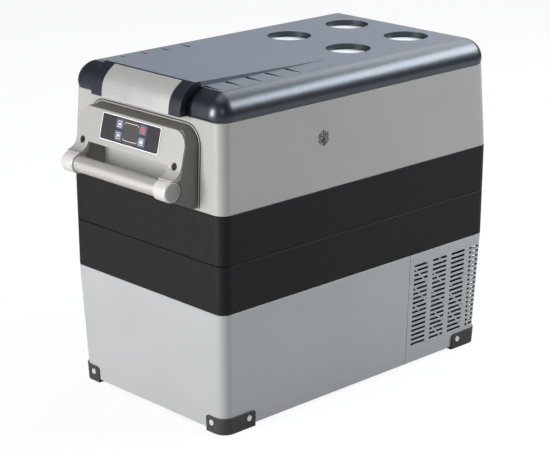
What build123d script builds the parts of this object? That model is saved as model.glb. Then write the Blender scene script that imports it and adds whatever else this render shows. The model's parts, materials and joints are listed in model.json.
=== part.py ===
from build123d import *
import math
import os

# Compressor cooler fridge for vans and caravans, millimetres.
# +X runs along the length towards the hinge end, the control panel faces -X,
# the long sides face -Y and +Y, and +Z is up. The origin is on the floor, under
# the middle of the box.

# ---------------------------------------------------------------- driving sizes
wall = 3.0                     # moulded outer shells
corner_r = 16.0                # upright corners of the box
edge_break = 0.8               # small chamfer along the shell rims
air = 0.2                      # gap between packed inner pieces

# heights of the outer box, with its half length and half width there
base_z, base_a, base_b = 4.0, 262.3, 151.7
belt_z, belt_a, belt_b = 177.0, 269.1, 158.9
band_split = 246.0
band_top, band_a, band_b = 316.0, 269.8, 160.0
rim_z, rim_a, rim_b = 440.0, 264.3, 154.3
band_gap = 0.5

# lid
lid_z = 441.0
lid_skirt_top = 448.0
lid_top = 477.5
lid_a, lid_b = 267.5, 156.5
lid_round = 24.0               # how far the edge rounding reaches inwards
round_reach = 1.05             # over 1 leaves a soft crease where the flat top starts
lid_tuck = 1.4                 # the skirt draws in by this much at its lower edge
lid_wall = 3.0
lid_corner = 24.0
panel_z, panel_t = 444.0, 2.5
plug_a, plug_b, plug_z = 222.0, 112.0, 430.0
plateau_half = 93.0            # raised centre section of the lid
plateau_end = 15.0
groove_w, groove_d, groove_x = 6.0, 2.3, -243.0
cup_r, cup_depth = 32.8, 8.5
cup_xs, cup_y = (67.0, 190.0), 61.0
tick_x0, tick_pitch, tick_count = -239.0, 37.0, 5
tick_y0, tick_y1, tick_w, tick_depth = 93.5, 127.5, 7.0, 2.2

# latch
latch_half = 70.0
latch_gap = 0.4
latch_seam_x, latch_seam = -254.5, 2.0
latch_x, latch_z = -259.5, 474.0
latch_pin_r = 2.5
latch_barrel_r = 5.2
latch_swing_r = 11.8
latch_wall_x = -266.0
run_fit = 0.05                 # radial clearance of the running fits

# lid hinge
hinge_x, hinge_z = 273.0, 441.0
hinge_ys = (-70.0, 70.0)
hinge_barrel_r, hinge_pin_r = 5.2, 2.5
knuckle_half = 7.7

# tub
tub_a, tub_b, tub_r, liner_t = 228.0, 118.0, 25.0, 2.0
well_x1 = 88.0                 # the deep part of the tub ends here
well_floor, shelf_floor = 50.0, 214.0
flange_a, flange_b = 261.0, 151.0

# compressor bay under the tub's shelf
bay_x, bay_top = 102.0, 182.0
bulkhead_t = 1.5
seam = 0.9
slot_h, slot_pitch, slot_rows, slot_top = 3.6, 7.32, 18, 157.5
slot_l, slot_x0, column_pitch = 30.5, 112.5, 41.0
rib_w = 2.6

# control head and carrying handles
head_half, head_z0, head_z1 = 111.0, 318.0, 428.0
head_top_r = 24.0
face_x, face_z = -285.0, 425.5  # the fascia's top edge
face_slope = 0.2426            # how far the fascia leans out per mm downwards
face_t = 3.0
gap_half, gap_top = 84.5, 378.5
bar_x, bar_z = -311.0, 349.0
bar_r, bar_t, socket_r = 11.5, 1.5, 14.5
socket_y0, socket_y1, cap_y = 86.0, 107.0, 110.5
rear_narrow = 9.0              # the far end's handle is this much narrower each side
arm_tip, saddle_z = 365.0, 376.0
display_w, display_h, display_z = 120.0, 34.0, 405.0
button_w, button_h, button_u, button_v = 15.4, 14.4, 24.2, 8.1
screw_y, screw_z = 97.0, 379.0
screw_hole_r, screw_head_r = 5.4, 4.6

# feet
foot_h, foot_out, foot_t, foot_long, foot_short = 24.0, 2.0, 1.95, 57.0, 34.0
foot_round = 4.5
foot_screw_x, foot_screw_y, foot_screw_z = 217.5, 129.0, 15.0
foot_bore_r, foot_sink_r, foot_head_r, foot_shank_r = 1.8, 4.7, 4.2, 1.5

# wire basket
basket_x0, basket_x1, basket_b = -219.0, 79.0, 109.0
basket_z0, basket_z1 = 50.3, 340.0
tray_t, rim_wire_r, basket_r = 0.8, 2.0, 20.0
bail_r, bail_y, bail_reach = 1.8, 52.0, 60.0

# cooling unit
comp_x, comp_y, comp_r = 186.0, -68.0, 52.0
fan_x, fan_z, fan_half, fan_y0, fan_y1 = 182.0, 85.0, 46.0, 36.0, 56.0
coil_y, coil_x0, coil_x1, coil_r = 74.0, 126.0, 236.0, 3.0

pieces = {}


def keep(name, shape):
    """Store a finished piece under its node name."""
    pieces[name] = shape


# ---------------------------------------------------------------- shared shapes
def box(x0, x1, y0, y1, z0, z1):
    """Box between two corners."""
    middle = Pos((x0 + x1) / 2, (y0 + y1) / 2, (z0 + z1) / 2)
    return middle * Box(x1 - x0, y1 - y0, z1 - z0)


def rod_x(x0, x1, y, z, r):
    """Cylinder along X."""
    return Pos((x0 + x1) / 2, y, z) * Rot(0, 90, 0) * Cylinder(r, x1 - x0)


def rod_y(y0, y1, x, z, r):
    """Cylinder along Y."""
    return Pos(x, (y0 + y1) / 2, z) * Rot(90, 0, 0) * Cylinder(r, y1 - y0)


def rod_z(z0, z1, x, y, r):
    """Cylinder along Z."""
    return Pos(x, y, (z0 + z1) / 2) * Cylinder(r, z1 - z0)


def round_box(a, b, r, z0, z1, x=0.0, y=0.0):
    """Upright block with rounded corners, half sizes a and b."""
    return Pos(x, y, z0) * extrude(RectangleRounded(2 * a, 2 * b, r), amount=z1 - z0)


def prism_y(outline, y0, y1):
    """Closed outline in X and Z, given as edges or points, extruded in Y."""
    if isinstance(outline, list):
        outline = Polyline(*outline, close=True)
    return extrude(Plane.XZ.offset(-y1) * make_face(outline), amount=y1 - y0)


def slab(levels):
    """Straight-sided solid through rounded rectangles (z, half x, half y, corner)."""
    sections = [Pos(0, 0, z) * RectangleRounded(2 * a, 2 * b, r) for z, a, b, r in levels]
    return loft(sections, ruled=True)


def box_size(z):
    """Half length and half width of the outer box at height z."""
    stations = [(base_z, base_a, base_b), (belt_z, belt_a, belt_b),
                (band_top, band_a, band_b), (rim_z, rim_a, rim_b)]
    pairs = list(zip(stations, stations[1:]))
    low, high = next((pair for pair in pairs if z <= pair[1][0]), pairs[-1])
    t = (z - low[0]) / (high[0] - low[0])
    return low[1] + t * (high[1] - low[1]), low[2] + t * (high[2] - low[2])


def outer_block(z0, z1, inset=0.0, rim_break=0.0):
    """Part of the outer box between two heights, with optional chamfered rims."""
    heights = [z0] + [z for z in (belt_z, band_top) if z0 < z < z1] + [z1]
    levels = [(z, box_size(z)[0] - inset, box_size(z)[1] - inset, corner_r - inset)
              for z in heights]
    if rim_break:
        for end, way in ((0, 1), (-1, -1)):
            z, a, b, r = levels[end]
            full_a, full_b = box_size(z + way * rim_break)
            full = (z + way * rim_break, full_a - inset, full_b - inset, r)
            cut = (z, a - rim_break, b - rim_break, r)
            levels[end:end + 1 or None] = [cut, full][::way]
    return slab(levels)


def tube(points, radii, r):
    """Round rod along straight runs joined by tangent arcs."""
    path = FilletPolyline(*points, radius=radii)
    return sweep(Plane(origin=path @ 0, z_dir=path % 0) * Circle(r), path=path)


# ---------------------------------------------------------------- outer shells
def vent_tool(x_starts, ribs, depth):
    """Cutter for one side panel's slots, with slanted ribs left standing."""
    pattern = Sketch() + [
        Pos(x + slot_l / 2, slot_top - row * slot_pitch) * Rectangle(slot_l, slot_h)
        for x in x_starts for row in range(slot_rows)]
    bars = [Pos(x + span / 2, z - span / 2) * Rot(0, 0, -45)
            * Rectangle(span * math.sqrt(2), rib_w) for x, z, span in ribs]
    pattern -= bars
    return extrude(Plane.XZ.offset(depth) * pattern, amount=40)


def build_shells():
    lower = outer_block(base_z, belt_z, 0, edge_break) - outer_block(base_z + wall, belt_z + 1, wall)
    floor_core = outer_block(base_z - 1, base_z + wall, wall + air)
    lower -= box(bay_x, 300, -200, 200, 0, 200) - floor_core
    upper_rim = outer_block(band_top, rim_z, 0, edge_break) - outer_block(band_top - 1, rim_z + 1, wall)
    half = band_gap / 2
    bands = {"lower_extension_band": (belt_z, band_split - half),
             "upper_extension_band": (band_split + half, band_top)}
    for name, (z0, z1) in bands.items():
        keep(name, outer_block(z0, z1, 0, edge_break) - outer_block(z0 - 1, z1 + 1, wall))
    keep("upper_body_shell", upper_rim)

    cover = outer_block(base_z, belt_z, 0, edge_break) - outer_block(base_z - 1, belt_z + 1, wall)
    cover &= box(bay_x + seam, 300, -200, 200, 0, 200)
    # ribs that cross the slots, each from its upper end (x, z) over its width
    ribs = [(112, 156, 36), (114, 125, 36), (116, 96, 12), (138, 161, 8),
            (160, 166, 15), (152, 142, 24), (152, 112, 12), (171, 95, 16),
            (164, 72, 26), (160, 49, 24), (192, 114, 8), (196, 95, 32),
            (198, 64, 30), (222, 115, 8)]
    columns = [slot_x0 + i * column_pitch for i in range(3)]
    side_tool = vent_tool(columns, ribs, 140)
    corner_slots = []
    for row in range(slot_rows):
        z = slot_top - row * slot_pitch
        corner_slots.append(box(235.5, 240.5, 130, 200, z - slot_h / 2, z + slot_h / 2))
        corner_slots.append(box(243.5, 300, 135, 200, z - slot_h / 2, z + slot_h / 2))
    corner_tool = Part() + corner_slots
    for tool in (side_tool, mirror(side_tool, about=Plane.XZ)):
        cover -= tool
    for tool in (corner_tool, mirror(corner_tool, about=Plane.XZ)):
        cover -= tool
    cover -= box(240, 300, -22, 22, 123, 153)
    return lower, cover


def build_feet(lower, cover):
    """Corner guards: an upright angle and a pad under the box, each with two screws."""
    skin = outer_block(0, foot_h, -foot_out) - outer_block(-1, foot_h + 1, foot_t - foot_out)
    pad = outer_block(0, base_z, -foot_out)
    guard = skin + pad
    long_x, short_y = base_a - foot_long, base_b - foot_short
    soft = RectangleRounded(2 * (300 - long_x), 2 * (200 - short_y), 9)
    reach = Pos(300, 200, -1) * extrude(soft, amount=foot_h + 1)
    side_view = Pos(300, 0) * RectangleRounded(2 * (300 - long_x), 2 * foot_h, foot_round)
    end_view = Pos(200, 0) * RectangleRounded(2 * (200 - short_y), 2 * foot_h, foot_round)
    reach &= extrude(Plane.XZ * side_view, amount=400, both=True)
    reach &= extrude(Plane.YZ * end_view, amount=400, both=True)
    guard &= reach
    inner = outer_block(base_z, foot_h + 1, foot_t - foot_out)
    guard -= inner
    skin_x, skin_y = box_size(foot_screw_z)
    at_end = Pos(skin_x + foot_out, foot_screw_y, foot_screw_z) * Rot(0, 90, 0)
    at_side = Pos(foot_screw_x, skin_y + foot_out, foot_screw_z) * Rot(-90, 0, 0)
    sunk = 1.4
    heads, bores = [], []
    for place in (at_end, at_side):
        hole = place * Cylinder(foot_bore_r, 10)
        sink = place * Pos(0, 0, 2.5 - sunk) * Cylinder(foot_sink_r, 5)
        screw = Pos(0, 0, 1 - sunk) * Cylinder(foot_head_r, 2)
        screw += Pos(0, 0, -1.6 - sunk) * Cylinder(foot_shank_r, 3.2)
        screw -= Pos(0, 0, 2 - sunk) * (Box(1, 5.6, 1.6) + Box(5.6, 1, 1.6))
        guard -= hole + sink
        bores.append(hole)
        heads.append(place * screw)
    screws = []
    for end, x_flip in (("hinge", False), ("control", True)):
        for side, y_flip in (("right", True), ("left", False)):
            parts = [guard] + heads + bores
            if x_flip:
                parts = [mirror(p, about=Plane.YZ) for p in parts]
            if y_flip:
                parts = [mirror(p, about=Plane.XZ) for p in parts]
            keep(f"foot_{end}_end_{side}", parts[0])
            for head in parts[1:3]:
                screws += head.solids()
            for bore in parts[3:]:
                lower -= bore
                cover -= bore
    keep("foot_screws", Compound(screws))
    keep("lower_body_shell", lower)
    keep("compressor_cover", cover)


# ---------------------------------------------------------------- tub and foam
def build_tub():
    well_middle = (well_x1 - tub_a) / 2
    well_half = (well_x1 + tub_a) / 2

    def tub_block(grow, top):
        deep = round_box(well_half + grow, tub_b + grow, tub_r + grow, well_floor - grow,
                         top, x=well_middle)
        shelf = round_box(tub_a + grow, tub_b + grow, tub_r + grow, shelf_floor - grow, top)
        return deep + shelf

    inside = tub_block(0, rim_z + 1)
    outside = tub_block(liner_t, rim_z - wall)
    flange = round_box(flange_a, flange_b, 12, rim_z - wall, rim_z)
    light_cut = box(-240, -226, -22, 22, 392, 408)
    liner = outside + flange - inside - light_cut
    keep("inner_liner", liner)
    lens = box(-229.8, -226.5, -21.5, 21.5, 392.5, 407.5)
    keep("interior_light", lens)

    foam = outer_block(base_z + wall + air, rim_z - wall - air, wall + air)
    foam -= tub_block(liner_t + air, rim_z + 5)
    foam -= box(bay_x - wall, 300, -200, 200, 0, bay_top)
    jacket_grow = liner_t + 8.2
    jacket = round_box(well_half + jacket_grow, tub_b + jacket_grow, tub_r + jacket_grow,
                       64, 176, x=well_middle)
    foam -= jacket & box(-300, bay_x - wall, -200, 200, 0, 200)
    foam -= box(-250, -228, -24, 24, 390, 410)
    keep("insulation_foam", foam)

    # evaporator tube wound round the outside of the deep well
    reach = liner_t + 4.0
    loops, pitch, low = 5, 22.0, 72.0
    x0, x1, y1 = -tub_a - reach, well_x1 + reach, tub_b + reach
    route = []
    for i in range(loops):
        z = low + i * pitch
        route += [(x1, -y1, z), (x1, y1, z), (x0, y1, z), (x0, -y1, z)]
    route[0] = (x1, -y1 + 40, low)
    route[-1] = (x0, -y1 + 40, low + (loops - 1) * pitch)
    keep("evaporator_coil", tube(route, tub_r + reach, 3.0))

    skin_a, skin_b = box_size(100)
    side = skin_b - wall - 6
    upright = box(bay_x - wall + air, bay_x - wall + air + bulkhead_t, -side, side,
                  base_z + wall, bay_top - air)
    roof = box(bay_x - wall + air, skin_a - wall - 4, -side, side,
               bay_top - air - bulkhead_t, bay_top - air)
    keep("bay_bulkhead", upright + roof)


# ---------------------------------------------------------------- cooling unit
def build_cooling_unit():
    floor = base_z + wall
    plate = box(bay_x + 3, 254, -140, 140, floor, floor + 1.5)
    deck = floor + 1.5
    bolt_xs, bolt_ys = (comp_x - 60, comp_x + 60), (comp_y - 38, comp_y + 38)
    spots = [(x, y) for x in bolt_xs for y in bolt_ys]
    plate -= [rod_z(0, 20, x, y, 3.0) for x, y in spots]
    keep("base_plate", plate)

    feet_z = deck + 15
    keep("compressor_grommets", Compound([
        rod_z(deck, feet_z, x, y, 9) - rod_z(0, 60, x, y, 3.2) for x, y in spots]))
    bracket = box(comp_x - 70, comp_x + 70, comp_y - 47, comp_y + 47, feet_z, feet_z + 2.5)
    bracket -= [rod_z(0, 60, x, y, 3.2) for x, y in spots]
    keep("compressor_bracket", bracket)
    keep("compressor_bolts", Compound([
        rod_z(floor + 0.1, feet_z + 2.6, x, y, 2.9) + rod_z(feet_z + 2.5, feet_z + 6, x, y, 5.5)
        for x, y in spots]))

    can_z = feet_z + 2.5
    lower_can = rod_z(can_z, can_z + 64, comp_x, comp_y, comp_r)
    lower_can = fillet(lower_can.edges().group_by(Axis.Z)[0], 18)
    cavity = rod_z(can_z + wall, can_z + 65, comp_x, comp_y, comp_r - wall)
    lower_can -= fillet(cavity.edges().group_by(Axis.Z)[0], 15)
    upper_can = rod_z(can_z + 56, can_z + 122, comp_x, comp_y, comp_r + 2.7)
    upper_can = fillet(upper_can.edges().group_by(Axis.Z)[-1], 20)
    upper_can -= rod_z(can_z + 50, can_z + 65, comp_x, comp_y, comp_r + 0.1)
    cavity = rod_z(can_z + 64, can_z + 122 - wall, comp_x, comp_y, comp_r - wall)
    upper_can -= fillet(cavity.edges().group_by(Axis.Z)[-1], 15)
    keep("compressor_lower_can", lower_can)
    keep("compressor_upper_can", upper_can)
    can_top = can_z + 122

    side_x = comp_x + comp_r - 2
    terminal = box(side_x - 4, side_x + 14, comp_y - 18, comp_y + 18, can_z + 20, can_z + 52)
    terminal = fillet(terminal.edges().filter_by(Axis.X), 4)
    terminal -= rod_z(can_z, can_z + 60, comp_x, comp_y, comp_r + air)
    keep("compressor_terminal_cover", terminal)

    # condenser: straight runs through a pack of fins, and the fan beside it
    rows = [31 + 22 * i for i in range(6)]
    fins = []
    for i in range(23):
        x = coil_x0 + 5 * i
        fin = box(x, x + 0.8, coil_y - 12, coil_y + 12, 19, 153)
        fins.append(fin - [rod_x(x - 1, x + 2, coil_y, z, coil_r + 0.25) for z in rows])
    keep("condenser_fins", Compound([solid for fin in fins for solid in fin.solids()]))
    out_x, in_x, riser = coil_x1 + 12, coil_x0 - 11, 158
    route = [(out_x, coil_y, riser), (out_x, coil_y, rows[-1])]
    for i, z in enumerate(reversed(rows)):
        ends = (in_x, out_x) if i % 2 == 0 else (out_x, in_x)
        if i:
            route.append((ends[1], coil_y, z))
        route.append((ends[0], coil_y, z))
    keep("condenser_tube", tube(route, 10.0, coil_r))

    frame = box(fan_x - fan_half, fan_x + fan_half, fan_y0, fan_y1,
                fan_z - fan_half, fan_z + fan_half)
    frame = fillet(frame.edges().filter_by(Axis.Y), 6)
    frame -= rod_y(fan_y0 - 1, fan_y1 + 1, fan_x, fan_z, fan_half - 2.5)
    hub_y = fan_y1 - 6
    spokes = [Pos(fan_x, 0, fan_z) * Rot(0, a, 0) * box(10, fan_half - 1, hub_y + 1, fan_y1, -2, 2)
              for a in (30, 150, 270)]
    frame += [rod_y(hub_y, fan_y1, fan_x, fan_z, 17)] + spokes
    frame -= rod_y(hub_y - 1, fan_y1 - 1.5, fan_x, fan_z, 2 + run_fit)
    keep("fan_frame", frame)
    blade = Rot(38, 0, 0) * box(15, fan_half - 5, -0.8, 0.8, -8.5, 8.5)
    spin = Pos(fan_x, fan_y0 + 7.5, fan_z)
    rotor = rod_y(fan_y0 + 1.5, hub_y - 0.7, fan_x, fan_z, 18)
    rotor += [spin * Rot(0, 360 / 7 * i, 0) * blade for i in range(7)]
    rotor &= rod_y(fan_y0 + 1, hub_y - 0.7, fan_x, fan_z, fan_half - 5)
    rotor += rod_y(hub_y - 1, fan_y1 - 2, fan_x, fan_z, 2)
    keep("fan_rotor", rotor)

    drier = rod_z(66, 122, 116, 106, 9) + rod_z(58, 130, 116, 106, 3)
    keep("filter_drier", drier)
    lift = can_top + 25
    keep("discharge_line", tube([(206, comp_y + 8, can_top), (206, comp_y + 8, lift),
                                 (out_x, comp_y + 8, lift), (out_x, coil_y, lift),
                                 (out_x, coil_y, riser)], [9, 9, 8], coil_r))
    keep("suction_line", tube([(bay_x, -112, lift), (166, -112, lift), (166, comp_y - 10, lift),
                               (166, comp_y - 10, can_top)], [9, 9], coil_r))
    module = box(142, 226, 112, 138, floor + 1.5, 84)
    module = fillet(module.edges().filter_by(Axis.Y), 3)
    module += [box(146 + 8 * i, 148 + 8 * i, 104, 113, 16, 78) for i in range(10)]
    keep("power_module", module)

    inlet = box(246, 269.8, -21.5, 21.5, 123.5, 152.5) + box(262, 269.8, -26, 26, 119, 157)
    inlet -= outer_block(base_z, belt_z) & box(200, 300, -26, 26, 100, 123.5)
    inlet -= outer_block(base_z, belt_z) & box(200, 300, -26, 26, 152.5, 170)
    for y0, y1 in ((-27, -21.5), (21.5, 27)):
        inlet -= outer_block(base_z, belt_z) & box(200, 300, y0, y1, 100, 170)
    inlet -= box(252, 275, -11, 11, 130, 146)
    inlet += [box(251, 261, y - 0.5, y + 0.5, 134, 142) for y in (-5, 5)]
    keep("power_inlet", inlet)


# ---------------------------------------------------------------- handles, control head
def face_at(z):
    """X of the fascia's front at height z."""
    return face_x - face_slope * (face_z - z)


# the panel's own plane: seen from in front, x runs right and y runs up the slope
cos_tilt = math.cos(math.atan(face_slope))
sin_tilt = math.sin(math.atan(face_slope))
panel = Plane(origin=(face_at(display_z), 0, display_z), x_dir=(0, -1, 0),
              z_dir=(-cos_tilt, 0, sin_tilt))


def head_outline(half):
    """Front view of the bracket: a plate with two large top corners."""
    plate = Pos(0, (head_z0 + head_z1) / 2) * Rectangle(2 * half, head_z1 - head_z0)
    plate = fillet(plate.vertices().group_by(Axis.Y)[-1], head_top_r)
    return fillet(plate.vertices().filter_by(lambda v: abs(v.Y - head_z0) < 0.1), 5)


def build_handle_end(narrow):
    """Bracket, front plate, bar, sockets, caps and screws of one end, facing -X."""
    half, gap = head_half - narrow, gap_half - narrow
    back = box_size(400)[0] - 4
    skin = (face_t + 0.1) / cos_tilt
    side = [(-back, head_z1), (face_x + skin, face_z), (face_at(gap_top) + skin, gap_top),
            (face_at(arm_tip - 1.5) + skin, arm_tip - 1.5), (bar_x, bar_z + 4),
            (bar_x, bar_z - 12), (-274.0, head_z0), (-back, head_z0)]
    front_view = extrude(Plane.YZ.offset(-330) * head_outline(half), amount=90)
    bracket = (prism_y(side, -half, half) & front_view) - outer_block(band_top - 5, rim_z)
    bracket -= box(-330, -200, -gap, gap, 300, gap_top)
    bracket -= rod_y(-120, 120, bar_x, bar_z, socket_r)
    bracket -= panel * (Pos(0, -1.2, -9) * Box(176, 37.6, 22))

    v_top = (face_z - display_z) / cos_tilt
    v_gap = (gap_top - display_z) / cos_tilt
    v_tip = (arm_tip - display_z) / cos_tilt
    plate = Pos(0, (v_top + v_tip) / 2) * Rectangle(2 * half - 0.6, v_top - v_tip)
    plate = fillet(plate.vertices().group_by(Axis.Y)[-1], head_top_r - 2)
    plate -= Pos(0, (v_gap + v_tip) / 2 - 10) * Rectangle(2 * gap, v_gap - v_tip + 20)
    spots = [Pos(u, (screw_z - display_z) / cos_tilt) for u in (narrow - screw_y, screw_y - narrow)]
    plate = panel * extrude(plate, -face_t)

    # each arm of the plate runs down in a hollow curve onto its socket
    behind = skin - 0.15
    sweep_down = Spline((face_at(saddle_z), saddle_z), (-303.2, 368.6), (-313.0, 365.0))
    rest = Polyline((-313.0, 365.0), (-313.0, 360.0), (-302.2, 360.4),
                    (face_at(arm_tip - 1) + behind, arm_tip - 1),
                    (face_at(saddle_z) + behind, saddle_z), (face_at(saddle_z), saddle_z))
    for y0, y1 in ((-half + 0.3, -gap), (gap, half - 0.3)):
        plate += prism_y(sweep_down + rest, y0, y1)
    plate -= rod_y(-120, 120, bar_x, bar_z, socket_r + 0.1)

    screws = []
    for spot in spots:
        plate -= panel * (spot * (Pos(0, 0, -2) * Cylinder(screw_hole_r, 12)))
        head = spot * (Pos(0, 0, -2.2) * Cylinder(screw_head_r, 1.6))
        head -= spot * (Pos(0, 0, -1.6) * (Box(6, 1.1, 1.2) + Box(1.1, 6, 1.2)))
        head += spot * (Pos(0, 0, -9) * Cylinder(1.9, 12.4))
        screws += (panel * head).solids()
        bracket -= panel * (spot * (Pos(0, 0, -10) * Cylinder(1.95, 16)))

    y0, y1, y2 = socket_y0 - narrow, socket_y1 - narrow, cap_y - narrow
    bar = rod_y(1 - y1, y1 - 1, bar_x, bar_z, bar_r)
    bar -= rod_y(-120, 120, bar_x, bar_z, bar_r - bar_t)
    socket = rod_y(y0, y2, bar_x, bar_z, socket_r)
    socket = fillet(socket.edges().group_by(Axis.Y)[-1], 2.7)
    socket = chamfer(socket.edges().group_by(Axis.Y)[0], 0.8)
    socket -= rod_y(y0 - 1, y2 + 1, bar_x, bar_z, bar_r + 0.1)
    cap = rod_y(y1, y2 - 0.5, bar_x, bar_z, bar_r)
    cap = chamfer(cap.edges().group_by(Axis.Y)[-1], 0.5)
    sockets = socket.solids() + mirror(socket, about=Plane.XZ).solids()
    caps = cap.solids() + mirror(cap, about=Plane.XZ).solids()
    return bracket, plate, screws, bar.solids(), sockets, caps


def build_head():
    bracket, fascia, *front_parts = build_handle_end(0)
    keep("front_handle_bracket", bracket)
    rear_bracket, rear_plate, *rear_parts = build_handle_end(rear_narrow)
    keep("rear_handle_bracket", mirror(rear_bracket, about=Plane.YZ))
    keep("rear_handle_plate", mirror(rear_plate, about=Plane.YZ))
    names = ("bracket_screws", "handle_bars", "handle_sockets", "handle_end_caps")
    for name, front, rear in zip(names, front_parts, rear_parts):
        keep(name, Compound(front + [mirror(solid, about=Plane.YZ) for solid in rear]))

    window = RectangleRounded(display_w + 1, display_h + 1, 2.5)
    bezel = RectangleRounded(display_w + 5, display_h + 5, 4.5) - window
    fascia -= panel * extrude(window, amount=face_t + 2, both=True)
    fascia += panel * extrude(bezel, 0.6)
    keep("control_fascia", fascia)

    button_spots = {"button_power": (button_u, button_v), "button_set": (button_u, -button_v),
                    "button_up": (-button_u, button_v), "button_down": (-button_u, -button_v)}
    holes = [Pos(u, v) * RectangleRounded(button_w + 0.8, button_h + 0.8, 1.8)
             for u, v in button_spots.values()]
    lens = RectangleRounded(display_w, display_h, 2.2) - holes
    keep("display_lens", panel * (Pos(0, 0, -2.4) * extrude(lens, 1.9)))
    for name, (u, v) in button_spots.items():
        button = Pos(u, v, -3.6) * extrude(RectangleRounded(button_w, button_h, 1.4), 3.6)
        button = chamfer(button.edges().group_by(Axis.Z)[-1], 0.4)
        keep(name, panel * button)
    keep("display_module", panel * (Pos(0, 0, -5.6) * Box(28, 26, 6)))
    board = Pos(0, 0, -10.2) * Box(108, 32, 1.6)
    posts = [Pos(u, v, -7.6) * Box(4, 4, 3.6) for u in (-48, 48) for v in (-12, 12)]
    keep("control_board", panel * (board + posts))


# ---------------------------------------------------------------- lid
def lid_block(inset, top, low):
    """The lid without its raised centre: a skirt that tucks in below, then a rounding."""
    full = 1 - math.sqrt(1 - 1 / round_reach ** 2)

    def level(z):
        up = max(0.0, (z - lid_skirt_top) / (top - lid_skirt_top))
        down = max(0.0, (lid_skirt_top - z) / (lid_skirt_top - lid_z))
        step = lid_round * (1 - math.sqrt(1 - (up / round_reach) ** 2)) / full
        step += lid_tuck * down ** 2 + inset
        corner = max(1.5, lid_corner - step)
        return Pos(0, 0, z) * RectangleRounded(2 * (lid_a - step), 2 * (lid_b - step), corner)
    shares = (0.0, 0.3, 0.55, 0.75, 0.9, 1.0)
    heights = [low, (lid_z + lid_skirt_top) / 2]
    heights += [lid_skirt_top + (top - lid_skirt_top) * share for share in shares]
    return loft([level(z) for z in heights])


# front outline of the raised section, from its top down to the skirt line
nose = [(-254.0, 485.0), (-261.0, 481.5), (-268.0, 476.5), (-274.0, 470.5),
        (-278.5, 463.0), (-281.0, 454.0), (-282.0, 442.0)]


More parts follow.
